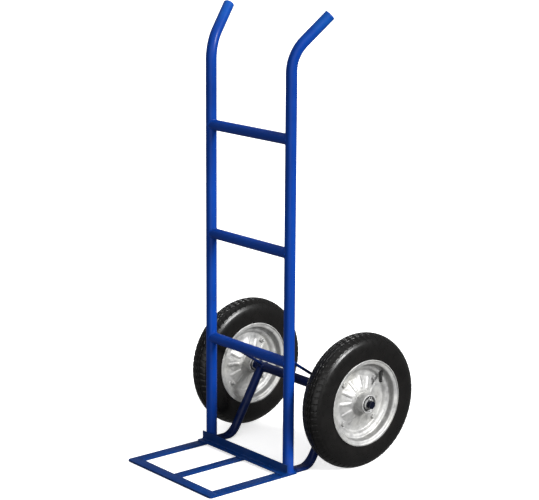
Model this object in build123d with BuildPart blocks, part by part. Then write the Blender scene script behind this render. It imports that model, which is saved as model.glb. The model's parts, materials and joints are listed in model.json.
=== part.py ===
"""Two-wheeled hand truck: a welded steel tube frame with an open toe frame and two pneumatic wheels.

Millimetres, +Z up. The origin is on the floor, at the centre of the truck's footprint. X runs across
the truck, the toe frame points to -Y, and the handles and wheels are towards +Y.
"""

from build123d import *
import os
from math import cos, pi, radians, sin, tan

os.makedirs("parts", exist_ok=True)

# ---------------------------------------------------------------- driving dimensions
TYRE_R = 178.0  # outer radius of the tyre, which is also the height of the axle
TYRE_HALF_W = 33.5  # half the width across the sidewalls
WHEEL_X = 226.5  # from the middle of the truck to the middle of each wheel
AXLE_BACK = 176.0  # from the uprights' axes back to the axle

TUBE_D = 28.6  # uprights and handles
TUBE_WALL = 1.5
UPRIGHT_X = 158.0  # from the middle to each upright's axis
CROSS_D = 28.0  # crossbars, a little under the uprights so that their notched ends seat
CROSSBARS = {"lower": 293.0, "middle": 576.0, "upper": 862.0}  # heights of their axes

HANDLE_BEND_Z = 1028.0  # where each upright starts to bend into its handle
HANDLE_BEND_R = 102.0
HANDLE_LEAN = 46.0  # degrees away from vertical
HANDLE_SPLAY = 23.5  # degrees, how far each handle turns outwards from straight back
HANDLE_LENGTH = 88.0  # straight part after the bend

TOE_REACH = 265.0  # from the uprights' axes to the front edge of the toe frame
TOE_HALF_W = 175.0
BAR_W = 30.0  # flat bars of the toe frame
BAR_T = 6.0
MIDDLE_BAR_W = 25.0
TOE_CORNER_R = 8.0  # front corners of the toe frame
EASED_EDGE_R = 0.8  # rolled edges of the flat bars
BAR_PAST_UPRIGHT = 16.0  # how far the side bars run past the uprights' axes
ANGLE_HEIGHT = 24.0  # upstanding leg of the angle bar that lies on the back of the toe frame
ANGLE_DEPTH = 20.0
ANGLE_T = 3.0

STAY_D = 24.0  # tubes from the toe frame up to the axle
STAY_WALL = 1.5
STAY_FOOT_W = 31.0  # their lower ends are pressed flat
STAY_FOOT_T = 11.0
STAY_SLOPE = 59.5  # degrees above horizontal
STAY_BEND_R = 56.0  # outer radius of the bend
STAY_AHEAD = 4.0  # how far in front of the axle's centre the stay's axis passes
BRACE_D = 8.0
BRACE_TOP_Z = 295.0  # where the brace rod meets the back of the upright
BRACE_OVER_AXLE = 5.0  # height of its line above the axle's centre

AXLE_R = 10.0
AXLE_TUBE_R = 13.0  # tube around the axle, from one wheel's washer to the other's
AXLE_OVERHANG = 55.0  # past the wheel's middle
SPLIT_PIN_AT = 45.0  # past the wheel's middle
SPLIT_PIN_R = 2.0
WASHER_R = 15.0
WASHER_T = 3.0

HUB_R = 24.5
HUB_HALF_L = 43.0
HUB_SHOULDER_R = 19.0  # bore between the bearings
BEARING_R = 21.0  # 20 x 42 x 12 ball bearings
BEARING_W = 12.0
BEARING_AT = 33.0  # from the wheel's middle to each bearing's middle
BALL_R = 3.175
BALL_PITCH_R = 16.0
BALL_COUNT = 9
FIT = 0.02  # radial gap of the seated bearing rings
RUNNING_GAP = 0.06  # radial gap between balls and inner raceway

RIM_T = 2.0  # sheet thickness of the pressed rim halves
RIM_BOLT_PCR = 73.0  # radius of the bolt circle
RIM_BOLT_COUNT = 4
RIM_BOLT_R = 4.0
RIM_RIB_COUNT = 12
INDEX_HOLE_PCR = 88.0
INDEX_HOLES = (151.0, 180.0)  # degrees from +Y towards +Z
VALVE_ANGLE = 44.0  # degrees from +Y towards +Z
VALVE_FOOT_R = 7.5  # flange of the valve, bonded into the inner tube's wall

# ---------------------------------------------------------------- derived places
UPRIGHT_Y = (TOE_REACH - AXLE_BACK - TYRE_R) / 2  # centres the footprint on the origin
AXLE_Y = UPRIGHT_Y + AXLE_BACK
AXLE_Z = TYRE_R
TOE_FRONT_Y = UPRIGHT_Y - TOE_REACH
TUBE_R = TUBE_D / 2
HEEL_Y = UPRIGHT_Y - TUBE_R  # front of the uprights, against which the angle bar stands
ANGLE_FRONT_Y = HEEL_Y - ANGLE_DEPTH
STAY_R = STAY_D / 2
AXLE_LINE = Axis((0, AXLE_Y, AXLE_Z), (1, 0, 0))

SIDES = {"left": -1, "right": 1}


def save(piece, label):
    """Names the finished piece and writes its STEP file."""
    piece.part.label = label
    export_step(piece.part, f"parts/{label}.step")


def across(x):
    """Plane across the truck at x, with local x along +Y and local y along +Z."""
    return Plane.YZ.offset(x)


def wheel_plane(side):
    """Plane through a wheel's axis: local x points outwards along the axle, local y is the radius."""
    return Plane(origin=(side * WHEEL_X, AXLE_Y, AXLE_Z), x_dir=(side, 0, 0), z_dir=(0, -side, 0))


def wheel_face(side, out):
    """Plane square to the axle, a distance out from the wheel's middle, facing outwards."""
    centre = (side * (WHEEL_X + out), AXLE_Y, AXLE_Z)
    return Plane(origin=centre, x_dir=(0, side, 0), z_dir=(side, 0, 0))


def around(side, radius, angle):
    """Point on a wheel face at a radius and an angle from +Y towards +Z."""
    return (side * radius * cos(radians(angle)), radius * sin(radians(angle)))


def ring(side, r_in, r_out, start, length):
    """Plain ring about the axle, from start outwards, measured from the wheel's middle."""
    with BuildPart() as made:
        with BuildSketch(wheel_face(side, start)):
            Circle(r_out)
            Circle(r_in, mode=Mode.SUBTRACT)
        extrude(amount=length)
    return made


# ---------------------------------------------------------------- uprights with their handles
def handle_directions(side):
    """Direction of the handle's tube, leaning back and turned outwards."""
    splay = radians(HANDLE_SPLAY)
    lean = Vector(side * sin(splay), cos(splay), 0)
    angle = radians(HANDLE_LEAN)
    return lean * sin(angle) + Vector(0, 0, cos(angle))


def handle_points(side):
    """Foot, bend corner and tip of an upright's centre line."""
    set_back = HANDLE_BEND_R * tan(radians(HANDLE_LEAN / 2))
    foot = Vector(side * UPRIGHT_X, UPRIGHT_Y, BAR_T)
    corner = Vector(side * UPRIGHT_X, UPRIGHT_Y, HANDLE_BEND_Z + set_back)
    tip = corner + handle_directions(side) * (set_back + HANDLE_LENGTH)
    return foot, corner, tip


def make_upright(side):
    foot, corner, tip = handle_points(side)
    with BuildPart() as upright:
        with BuildLine() as route:
            FilletPolyline(foot, corner, tip, radius=HANDLE_BEND_R)
        with BuildSketch(Plane(origin=foot, z_dir=(0, 0, 1))):
            Circle(TUBE_R)
            Circle(TUBE_R - TUBE_WALL, mode=Mode.SUBTRACT)
        sweep(path=route.wires()[0])
    return upright


def make_handle_plug(side):
    """Ribbed plug pressed into the open end of the handle tube."""
    cap_t = 3.0
    body_l = 18.0
    rib_pitch = 4.0
    tip = handle_points(side)[2]
    outward = Plane(origin=tip, z_dir=handle_directions(side))
    bore = TUBE_R - TUBE_WALL
    with BuildPart() as plug:
        with BuildSketch(outward):
            Circle(TUBE_R)
        extrude(amount=cap_t)
        fillet(plug.edges().group_by(SortBy.DISTANCE)[-1].sort_by(SortBy.LENGTH)[-1:], 1.2)
        with BuildSketch(outward):
            Circle(bore - 1.2)
        extrude(amount=-body_l)
        for i in range(4):
            with BuildSketch(outward.offset(-2.0 - i * rib_pitch)):
                Circle(bore - 0.05)
            extrude(amount=-1.5)
    return plug


# ---------------------------------------------------------------- crossbars
def make_crossbar(height):
    """Tube between the uprights, notched at both ends to sit against them."""
    with BuildPart() as crossbar:
        with BuildSketch(across(-UPRIGHT_X)):
            with Locations((UPRIGHT_Y, height)):
                Circle(CROSS_D / 2)
                Circle(CROSS_D / 2 - TUBE_WALL, mode=Mode.SUBTRACT)
        extrude(amount=2 * UPRIGHT_X)
        with Locations(*[(side * UPRIGHT_X, UPRIGHT_Y, height) for side in SIDES.values()]):
            Cylinder(TUBE_R, 3 * TUBE_D, mode=Mode.SUBTRACT)
    return crossbar


# ---------------------------------------------------------------- toe frame
def make_toe_bar(x_centre, width, y_front, y_back):
    with BuildPart() as bar:
        with BuildSketch(Plane(origin=(x_centre, (y_front + y_back) / 2, 0))):
            Rectangle(width, y_back - y_front)
        extrude(amount=BAR_T)
        fillet(bar.edges().filter_by(Axis.Y), EASED_EDGE_R)
    return bar


def make_toe_front():
    with BuildPart() as bar:
        with BuildSketch(Plane(origin=(0, TOE_FRONT_Y + BAR_W / 2, 0))):
            Rectangle(2 * TOE_HALF_W, BAR_W)
        extrude(amount=BAR_T)
        fillet(bar.edges().filter_by(Axis.Z).group_by(Axis.Y)[0], TOE_CORNER_R)
        fillet(bar.edges().filter_by(Axis.X), EASED_EDGE_R)
    return bar


def make_toe_angle():
    """Rolled angle bar: one leg flat on the toe frame's bars, one leg standing against the uprights."""
    top = BAR_T + ANGLE_HEIGHT
    with BuildPart() as angle:
        with BuildSketch(across(-TOE_HALF_W)):
            with BuildLine():
                Polyline(
                    (HEEL_Y, BAR_T),
                    (ANGLE_FRONT_Y, BAR_T),
                    (ANGLE_FRONT_Y, BAR_T + ANGLE_T),
                    (HEEL_Y - ANGLE_T, BAR_T + ANGLE_T),
                    (HEEL_Y - ANGLE_T, top),
                    (HEEL_Y, top),
                    close=True,
                )
            make_face()
        extrude(amount=2 * TOE_HALF_W)
        long_edges = angle.edges().filter_by(Axis.X)
        fillet(long_edges.sort_by_distance((0, HEEL_Y - ANGLE_T, BAR_T + ANGLE_T))[0], 3.0)
        fillet(angle.edges().filter_by(Axis.X).filter_by_position(Axis.Z, top, top), 1.0)
    return angle


# ---------------------------------------------------------------- stays and braces
def stay_bend_end():
    """Where the stay's bend ends, and where it starts along Y, so that its straight run aims at the axle."""
    slope = radians(STAY_SLOPE)
    centre_r = STAY_BEND_R - STAY_R
    end_z = STAY_BEND_R * (1 - cos(slope)) + STAY_R * cos(slope)
    end_y = AXLE_Y - STAY_AHEAD - (AXLE_Z - end_z) / tan(slope)
    return end_y, end_z, end_y - centre_r * sin(slope)


def stay_section(side, part_of_bend, bend_y, shrink):
    """Plane and radii of the stay's cross-section at a fraction of its bend, from pressed flat to round."""
    turn = radians(STAY_SLOPE) * part_of_bend
    half_t = STAY_FOOT_T / 2 + (STAY_R - STAY_FOOT_T / 2) * part_of_bend
    half_w = STAY_FOOT_W / 2 + (STAY_R - STAY_FOOT_W / 2) * part_of_bend
    y = bend_y + (STAY_BEND_R - half_t) * sin(turn)
    z = STAY_BEND_R - (STAY_BEND_R - half_t) * cos(turn)
    plane = Plane(origin=(side * UPRIGHT_X, y, z), x_dir=(1, 0, 0), z_dir=(0, cos(turn), sin(turn)))
    return plane, half_w - shrink, half_t - shrink


def make_stay(side):
    """Tube pressed flat where it meets the toe frame, bent up to the axle tube and notched to it."""
    slope = radians(STAY_SLOPE)
    end_y, end_z, bend_y = stay_bend_end()
    run = (AXLE_Z - end_z) / sin(slope) - STAY_AHEAD
    lap = 4.0  # the round run starts this far inside the bend
    hollow_from = 0.35
    foot_y = UPRIGHT_Y + BAR_PAST_UPRIGHT
    tube = Plane(
        origin=(side * UPRIGHT_X, end_y, end_z),
        x_dir=(1, 0, 0),
        z_dir=(0, cos(slope), sin(slope)),
    )
    foot = Plane(origin=(side * UPRIGHT_X, foot_y, STAY_FOOT_T / 2), x_dir=(1, 0, 0), z_dir=(0, 1, 0))
    with BuildPart() as stay:
        with BuildSketch(foot):
            SlotOverall(STAY_FOOT_W, STAY_FOOT_T)
        extrude(amount=bend_y - foot_y)
        for fraction in (0.0, 0.25, 0.5, 0.75, 1.0):
            plane, half_w, half_t = stay_section(side, fraction, bend_y, 0.1 * fraction)
            with BuildSketch(plane):
                Ellipse(half_w, half_t)
        loft()
        with BuildSketch(tube.offset(-lap)):
            Circle(STAY_R)
        extrude(amount=run + lap)
        for fraction in (hollow_from, 0.65, 1.0):
            plane, half_w, half_t = stay_section(side, fraction, bend_y, STAY_WALL)
            with BuildSketch(plane):
                Ellipse(half_w, half_t)
        loft(mode=Mode.SUBTRACT)
        with BuildSketch(tube.offset(-lap)):
            Circle(STAY_R - STAY_WALL)
        extrude(amount=run + lap + 1.0, mode=Mode.SUBTRACT)
        with Locations(Location((side * UPRIGHT_X, AXLE_Y, AXLE_Z), (0, 90, 0))):
            Cylinder(AXLE_TUBE_R, 4 * STAY_D, mode=Mode.SUBTRACT)
    return stay


def make_brace(side):
    """Round rod from the back of the upright down to the axle tube, notched to both."""
    top = Vector(side * UPRIGHT_X, UPRIGHT_Y, BRACE_TOP_Z + TUBE_R * (BRACE_TOP_Z - AXLE_Z) / AXLE_BACK)
    low = Vector(side * UPRIGHT_X, AXLE_Y, AXLE_Z + BRACE_OVER_AXLE)
    with BuildPart() as brace:
        with BuildSketch(Plane(origin=top, z_dir=low - top)):
            Circle(BRACE_D / 2)
        extrude(amount=(low - top).length)
        with Locations(top):
            Cylinder(TUBE_R, 6 * BRACE_D, mode=Mode.SUBTRACT)
        with Locations(Location((side * UPRIGHT_X, UPRIGHT_Y, CROSSBARS["lower"]), (0, 90, 0))):
            Cylinder(CROSS_D / 2, 2 * TUBE_D, mode=Mode.SUBTRACT)
        with Locations(Location((side * UPRIGHT_X, AXLE_Y, AXLE_Z), (0, 90, 0))):
            Cylinder(AXLE_TUBE_R, 6 * BRACE_D, mode=Mode.SUBTRACT)
    return brace


# ---------------------------------------------------------------- axle and what keeps the wheels on it
def make_axle():
    half_l = WHEEL_X + AXLE_OVERHANG
    with BuildPart() as axle:
        with BuildSketch(across(-half_l)):
            with Locations((AXLE_Y, AXLE_Z)):
                Circle(AXLE_R)
        extrude(amount=2 * half_l)
        chamfer(axle.edges().filter_by(GeomType.CIRCLE), 1.5)
        with Locations(*[(side * (WHEEL_X + SPLIT_PIN_AT), AXLE_Y, AXLE_Z) for side in SIDES.values()]):
            Cylinder(SPLIT_PIN_R + 0.3, 3 * AXLE_R, mode=Mode.SUBTRACT)
    return axle


def make_axle_tube(half_length):
    with BuildPart() as tube:
        with BuildSketch(across(-half_length)):
            with Locations((AXLE_Y, AXLE_Z)):
                Circle(AXLE_TUBE_R)
                Circle(AXLE_R + FIT, mode=Mode.SUBTRACT)
        extrude(amount=2 * half_length)
        chamfer(tube.edges().filter_by(GeomType.CIRCLE), 0.5)
    return tube


def make_split_pin(side):
    """Split pin dropped through the axle, with its eye on top and its legs bent apart below."""
    x = side * (WHEEL_X + SPLIT_PIN_AT)
    eye_r = 3.6
    leg_r = SPLIT_PIN_R * 0.7
    top_z = AXLE_Z + AXLE_R + 2.0
    low_z = AXLE_Z - AXLE_R - 2.5
    eye = Plane(origin=(x, AXLE_Y, top_z + eye_r), x_dir=(0, 1, 0), z_dir=(1, 0, 0))
    with BuildPart() as pin:
        with BuildSketch(Plane(origin=(x, AXLE_Y, low_z))):
            Circle(SPLIT_PIN_R)
        extrude(amount=top_z - low_z + 1.0)
        with Locations(Location(eye)):
            Torus(eye_r, leg_r)
        for way in (-1, 1):
            with BuildSketch(Plane(origin=(x, AXLE_Y, low_z + 1.0), z_dir=(0, way * sin(0.9), -cos(0.9)))):
                Circle(leg_r)
            extrude(amount=10.0)
    return pin


# ---------------------------------------------------------------- wheel: rim halves
def rim_profile():
    """Centre line of the pressed sheet, from the hub out to the curled flange: (axial, radial) points."""
    return [
        (13.0, HUB_R + 0.05),
        (13.0, 33.0),
        (RIM_T / 2, 64.0),
        (RIM_T / 2, 81.5),
        (7.0, 86.0),
        (10.0, 90.0),
        (13.0, 98.5),
        (24.5, 100.5),
        (27.5, 103.0),
        (28.8, 109.6),
        (31.4, 112.4),
    ]


def valve_axis():
    """Foot of the valve at the inner tube, and its direction outwards, as (axial, radial)."""
    foot = Vector(2.6, 106.5)
    return foot, (Vector(31.0, 68.0) - foot).normalized()


def valve_plane(side, along):
    """Plane square to the valve stem, a distance along it from its foot."""
    foot, way = valve_axis()
    angle = radians(VALVE_ANGLE)
    radial = Vector(0, cos(angle), sin(angle))
    start = Vector(side * WHEEL_X, AXLE_Y, AXLE_Z) + Vector(side * foot.X, 0, 0) + radial * foot.Y
    direction = Vector(side * way.X, 0, 0) + radial * way.Y
    return Plane(origin=start + direction * along, z_dir=direction)


def make_rim_half(side, facing):
    """One pressed half: facing is 1 for the outer half and -1 for the inner one."""
    out = side * facing
    section = Plane(origin=(side * WHEEL_X, AXLE_Y, AXLE_Z), x_dir=(out, 0, 0), z_dir=(0, -out, 0))
    face = Plane(origin=(side * WHEEL_X, AXLE_Y, AXLE_Z), x_dir=(0, 1, 0), z_dir=(1, 0, 0))
    rib_w = 8.0
    rib_rise = 2.6
    with BuildPart() as half:
        with BuildSketch(section):
            with BuildLine():
                FilletPolyline(*rim_profile(), radius=2.0)
            trace(line_width=RIM_T)
        revolve(axis=AXLE_LINE)
        for i in range(RIM_RIB_COUNT):
            turn = 360 / RIM_RIB_COUNT * (i + 0.5)
            with BuildSketch(section, mode=Mode.PRIVATE) as rib_side:
                with BuildLine():
                    Polyline(
                        (13.4, 34.0),
                        (RIM_T / 2 + 0.4, 63.0),
                        (RIM_T / 2 + 0.4 + rib_rise, 60.0),
                        (13.4 + rib_rise, 37.0),
                        close=True,
                    )
                make_face()
            rib = extrude(rib_side.sketch, amount=rib_w / 2, both=True, mode=Mode.PRIVATE)
            add(rib.rotate(AXLE_LINE, turn))
        with BuildSketch(face):
            with PolarLocations(RIM_BOLT_PCR, RIM_BOLT_COUNT, start_angle=45):
                Circle(RIM_BOLT_R + 0.2)
            for angle in INDEX_HOLES:
                with Locations(around(1, INDEX_HOLE_PCR, angle)):
                    Circle(3.0)
        extrude(amount=out * 20.0, mode=Mode.SUBTRACT)
        if facing == 1:
            with BuildSketch(valve_plane(side, 4.0)):
                Circle(5.4)
            extrude(amount=30.0, mode=Mode.SUBTRACT)
    return half


def make_rim_bolts(side):
    head_t = 5.3
    with BuildPart() as bolts:
        with BuildSketch(wheel_face(side, RIM_T)):
            with PolarLocations(RIM_BOLT_PCR, RIM_BOLT_COUNT, start_angle=45):
                RegularPolygon(6.5, 6, major_radius=False)
        extrude(amount=head_t)
        with BuildSketch(wheel_face(side, RIM_T)):
            with PolarLocations(RIM_BOLT_PCR, RIM_BOLT_COUNT, start_angle=45):
                Circle(RIM_BOLT_R)
        extrude(amount=-16.0)
    return bolts


def make_rim_nuts(side):
    nut_t = 6.5
    with BuildPart() as nuts:
        with BuildSketch(wheel_face(side, -RIM_T)):
            with PolarLocations(RIM_BOLT_PCR, RIM_BOLT_COUNT, start_angle=45):
                RegularPolygon(6.5, 6, major_radius=False)
                Circle(RIM_BOLT_R + FIT, mode=Mode.SUBTRACT)
        extrude(amount=-nut_t)
    return nuts


# ---------------------------------------------------------------- wheel: tyre, inner tube and valve
def make_tyre(side):
    """Bias-ply casing in one section: crown, sidewalls and beads, open towards the rim."""
    crown_t = 9.0
    shoulder = (28.0, 165.0)
    with BuildPart() as tyre:
        with BuildSketch(wheel_plane(side)):
            with BuildLine():
                ThreePointArc((-shoulder[0], shoulder[1]), (0, TYRE_R), shoulder)
                for way in (-1, 1):
                    ThreePointArc(
                        (way * shoulder[0], shoulder[1]),
                        (way * TYRE_HALF_W, 139.0),
                        (way * 27.3, 110.0),
                    )
                    Polyline(
                        (way * 27.3, 110.0),
                        (way * 26.0, 103.8),
                        (way * 24.0, 101.9),
                        (way * 14.5, 100.3),
                        (way * 18.5, 107.5),
                    )
                    ThreePointArc((way * 18.5, 107.5), (way * 29.0, 137.0), (way * 23.0, 160.0))
                ThreePointArc((-23.0, 160.0), (0, TYRE_R - crown_t), (23.0, 160.0))
            make_face()
        revolve(axis=AXLE_LINE)
        with BuildSketch(wheel_plane(side)):
            for offset in (-9.0, 9.0):
                with Locations((offset, TYRE_R)):
                    Rectangle(3.0, 7.0)
        revolve(axis=AXLE_LINE, mode=Mode.SUBTRACT)
    return tyre


def make_inner_tube(side):
    with BuildPart() as tube:
        with BuildSketch(wheel_plane(side)):
            with Locations((0, 136.5)):
                Ellipse(27.0, 30.8)
                Ellipse(25.0, 28.8, mode=Mode.SUBTRACT)
        revolve(axis=AXLE_LINE)
        with BuildSketch(valve_plane(side, -3.0)):
            Circle(VALVE_FOOT_R + 0.05)
        extrude(amount=24.0, mode=Mode.SUBTRACT)
    return tube


def make_valve_stem(side):
    with BuildPart() as stem:
        with BuildSketch(valve_plane(side, 0.0)):
            Circle(VALVE_FOOT_R)
        extrude(amount=2.5)
        with BuildSketch(valve_plane(side, 0.0)):
            Circle(5.2)
        extrude(amount=24.0)
        with BuildSketch(valve_plane(side, 24.0)):
            Circle(5.2)
        with BuildSketch(valve_plane(side, 36.0)):
            Circle(4.2)
        loft()
        with BuildSketch(valve_plane(side, 36.0)):
            Circle(2.6)
        extrude(amount=8.0)
    return stem


def make_valve_cap(side):
    with BuildPart() as cap:
        with BuildSketch(valve_plane(side, 36.3)):
            Circle(4.4)
        extrude(amount=11.0)
        rims = cap.edges().filter_by(GeomType.CIRCLE)
        fillet(rims.sort_by_distance(valve_plane(side, 60.0).origin)[0], 1.5)
        with BuildSketch(valve_plane(side, 36.3)):
            Circle(2.7)
        extrude(amount=8.2, mode=Mode.SUBTRACT)
        with BuildSketch(valve_plane(side, 36.3)):
            with PolarLocations(4.6, 12):
                Circle(0.5)
        extrude(amount=7.0, mode=Mode.SUBTRACT)
    return cap


# ---------------------------------------------------------------- wheel: hub and bearings
def make_hub(side):
    """Turned hub tube that holds one bearing against a shoulder at each end."""
    inner_end = BEARING_AT - BEARING_W / 2
    with BuildPart() as hub:
        with BuildSketch(wheel_face(side, -HUB_HALF_L)):
            Circle(HUB_R)
            Circle(HUB_SHOULDER_R, mode=Mode.SUBTRACT)
        extrude(amount=2 * HUB_HALF_L)
        for way in (-1, 1):
            with BuildSketch(wheel_face(side, way * inner_end)):
                Circle(BEARING_R + FIT)
            extrude(amount=way * (HUB_HALF_L - inner_end), mode=Mode.SUBTRACT)
        chamfer(hub.edges().filter_by(GeomType.CIRCLE).group_by(Axis.X)[0], 0.8)
        chamfer(hub.edges().filter_by(GeomType.CIRCLE).group_by(Axis.X)[-1], 0.8)
    return hub


def bearing_centres():
    return (-BEARING_AT, BEARING_AT)


def make_outer_rings(side):
    with BuildPart() as rings:
        with BuildSketch(wheel_plane(side)):
            for centre in bearing_centres():
                with Locations((centre, (BEARING_R + 18.0) / 2)):
                    Rectangle(BEARING_W, BEARING_R - 18.0)
            for centre in bearing_centres():
                with Locations((centre, BALL_PITCH_R)):
                    Circle(BALL_R + FIT, mode=Mode.SUBTRACT)
        revolve(axis=AXLE_LINE)
    return rings


def make_inner_rings(side):
    bore = AXLE_R + FIT
    with BuildPart() as rings:
        with BuildSketch(wheel_plane(side)):
            for centre in bearing_centres():
                with Locations((centre, (bore + 14.0) / 2)):
                    Rectangle(BEARING_W, 14.0 - bore)
            for centre in bearing_centres():
                with Locations((centre, BALL_PITCH_R)):
                    Circle(BALL_R + RUNNING_GAP, mode=Mode.SUBTRACT)
        revolve(axis=AXLE_LINE)
    return rings


def ball_planes(side):
    """Plane at the centre of every ball of both bearings, facing away from the axle."""
    planes = []
    for centre in bearing_centres():
        for i in range(BALL_COUNT):
            angle = 2 * pi / BALL_COUNT * i
            outward = Vector(0, cos(angle), sin(angle))
            hub_point = Vector(side * (WHEEL_X + centre), AXLE_Y, AXLE_Z)
            planes.append(Plane(origin=hub_point + outward * BALL_PITCH_R, z_dir=outward))
    return planes


def make_balls(side):
    with BuildPart() as balls:
        with Locations(*ball_planes(side)):
            Sphere(BALL_R)
    return balls


def make_cages(side):
    """Cage of each bearing, a band with a pocket for every ball."""
    with BuildPart() as cages:
        for centre in bearing_centres():
            with BuildSketch(wheel_face(side, centre - 4.1)):
                Circle(16.8)
                Circle(15.2, mode=Mode.SUBTRACT)
            extrude(amount=8.2)
        with Locations(*ball_planes(side)):
            Cylinder(BALL_R + 0.1, 6.0, mode=Mode.SUBTRACT)
    return cages


def make_seals(side):
    with BuildPart() as seals:
        for centre in bearing_centres():
            for way in (-1, 1):
                with BuildSketch(wheel_face(side, centre + way * (BEARING_W / 2 - 1.0) - 0.4)):
                    Circle(17.95)
                    Circle(14.3, mode=Mode.SUBTRACT)
                extrude(amount=0.8)
    return seals


# ---------------------------------------------------------------- everything, written out
SPACER_HALF_L = BEARING_AT - BEARING_W / 2
WASHER_START = BEARING_AT + BEARING_W / 2
INNER_WASHER_START = -WASHER_START - WASHER_T
SIDE_BAR_END_Y = UPRIGHT_Y + BAR_PAST_UPRIGHT

for height_name, height in CROSSBARS.items():
    save(make_crossbar(height), f"crossbar_{height_name}")

save(make_toe_front(), "toe_front_bar")
save(make_toe_angle(), "toe_angle_bar")
save(make_toe_bar(0, MIDDLE_BAR_W, TOE_FRONT_Y + BAR_W, HEEL_Y), "toe_middle_bar")
save(make_axle(), "axle")
save(make_axle_tube(WHEEL_X + INNER_WASHER_START), "axle_tube")

for name, side in SIDES.items():
    save(make_upright(side), f"upright_{name}")
    save(make_handle_plug(side), f"handle_plug_{name}")
    side_bar_x = side * (TOE_HALF_W - BAR_W / 2)
    save(make_toe_bar(side_bar_x, BAR_W, TOE_FRONT_Y + BAR_W, SIDE_BAR_END_Y), f"toe_side_bar_{name}")
    save(make_stay(side), f"stay_{name}")
    save(make_brace(side), f"brace_rod_{name}")
    save(ring(side, AXLE_R + FIT, WASHER_R, INNER_WASHER_START, WASHER_T), f"inner_washer_{name}")
    save(ring(side, AXLE_R + FIT, WASHER_R, WASHER_START, WASHER_T), f"outer_washer_{name}")
    save(make_split_pin(side), f"split_pin_{name}")
    save(ring(side, AXLE_R + 0.1, 13.5, -SPACER_HALF_L, 2 * SPACER_HALF_L), f"bearing_spacer_{name}")
    save(make_inner_rings(side), f"bearing_inner_rings_{name}")
    save(make_outer_rings(side), f"bearing_outer_rings_{name}")
    save(make_balls(side), f"bearing_balls_{name}")
    save(make_cages(side), f"bearing_cages_{name}")
    save(make_seals(side), f"bearing_seals_{name}")
    save(make_hub(side), f"hub_{name}")
    save(make_rim_half(side, 1), f"rim_outer_half_{name}")
    save(make_rim_half(side, -1), f"rim_inner_half_{name}")
    save(make_rim_bolts(side), f"rim_bolts_{name}")
    save(make_rim_nuts(side), f"rim_nuts_{name}")
    save(make_tyre(side), f"tyre_{name}")
    save(make_inner_tube(side), f"inner_tube_{name}")
    save(make_valve_stem(side), f"valve_stem_{name}")
    save(make_valve_cap(side), f"valve_cap_{name}")
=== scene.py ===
"""Looks of the hand truck, built around its CAD frame: tubes, tyres, rims, welds and materials."""

import json
from math import cos, pi, radians, sin, tan

import bpy
import numpy as np
from mathutils import Matrix, Vector


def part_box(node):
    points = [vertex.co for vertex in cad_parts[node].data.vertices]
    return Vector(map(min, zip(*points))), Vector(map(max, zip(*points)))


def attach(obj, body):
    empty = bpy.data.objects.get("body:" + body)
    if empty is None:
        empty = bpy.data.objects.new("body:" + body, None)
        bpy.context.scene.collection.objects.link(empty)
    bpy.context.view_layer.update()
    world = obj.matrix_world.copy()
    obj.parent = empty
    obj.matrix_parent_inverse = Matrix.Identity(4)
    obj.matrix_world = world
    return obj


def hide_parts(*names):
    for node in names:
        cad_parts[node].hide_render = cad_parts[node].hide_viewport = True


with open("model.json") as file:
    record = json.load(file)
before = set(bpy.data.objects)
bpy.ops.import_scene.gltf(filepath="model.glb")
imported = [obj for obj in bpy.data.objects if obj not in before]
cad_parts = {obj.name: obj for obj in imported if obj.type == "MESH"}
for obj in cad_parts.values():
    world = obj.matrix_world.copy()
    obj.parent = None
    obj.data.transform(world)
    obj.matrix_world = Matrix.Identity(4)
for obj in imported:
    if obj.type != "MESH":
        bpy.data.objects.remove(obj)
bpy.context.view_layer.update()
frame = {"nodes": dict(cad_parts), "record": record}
scene = bpy.context.scene
SIDES = {"left": -1, "right": 1}

# ---------------------------------------------------------------- places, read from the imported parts
MM = 0.001
AXLE_LO, AXLE_HI = (Vector(v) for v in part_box("axle"))
AXLE_Y = (AXLE_LO.y + AXLE_HI.y) / 2
AXLE_Z = (AXLE_LO.z + AXLE_HI.z) / 2
AXLE_R = (AXLE_HI.z - AXLE_LO.z) / 2
AXLE_TUBE_LO, AXLE_TUBE_HI = (Vector(v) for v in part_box("axle_tube"))
AXLE_TUBE_R = (AXLE_TUBE_HI.z - AXLE_TUBE_LO.z) / 2
_, BAR_HI = (Vector(v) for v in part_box("toe_side_bar_right"))
ANGLE_LO, ANGLE_HI = (Vector(v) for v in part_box("toe_angle_bar"))
_, FRONT_HI = (Vector(v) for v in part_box("toe_front_bar"))
TUBE_R = 14.3 * MM
UPRIGHT_LO, _ = (Vector(v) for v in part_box("upright_right"))
UPRIGHT_X = UPRIGHT_LO.x + TUBE_R
UPRIGHT_Y = UPRIGHT_LO.y + TUBE_R
CROSSBARS = ("lower", "middle", "upper")

# Sizes that the boxes don't give, the same as in the CAD.
HANDLE_BEND_Z = 1028 * MM
HANDLE_BEND_R = 102 * MM
HANDLE_LEAN = radians(46)
HANDLE_SPLAY = radians(23.5)
HANDLE_LENGTH = 88 * MM

STAY_R = 12 * MM
STAY_SLOPE = radians(59.5)
STAY_BEND_R = 56 * MM
STAY_AHEAD = 4 * MM
STAY_FOOT_W = 31 * MM
STAY_FOOT_T = 11 * MM

TOE_CORNER_R = 8 * MM
ANGLE_T = 3 * MM
BOLT_PCR = 73 * MM
BOLT_COUNT = 4
BOLT_R = 4 * MM
INDEX_HOLE_PCR = 88 * MM
INDEX_HOLES = (151.0, 180.0)

# Sizes of the surface detail.
BAR_EDGE_R = 1.3 * MM
BEND_STATIONS = 90
BEND_FLATTENING = 0.55 * MM
WRINKLES = 11
WRINKLE_DEPTH = 0.55 * MM
BEAD_STEP = 0.5 * MM
BEAD_RIPPLE_PITCH = 2.6 * MM
BEAD_SEAT_R = 99.5 * MM
INDEX_HOLE_R = 3.1 * MM
HEX_ACROSS = 12.9 * MM
RIM_RIBS = 12
RIB_HEIGHT = 1.9 * MM
TREAD_PITCHES = 62

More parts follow.
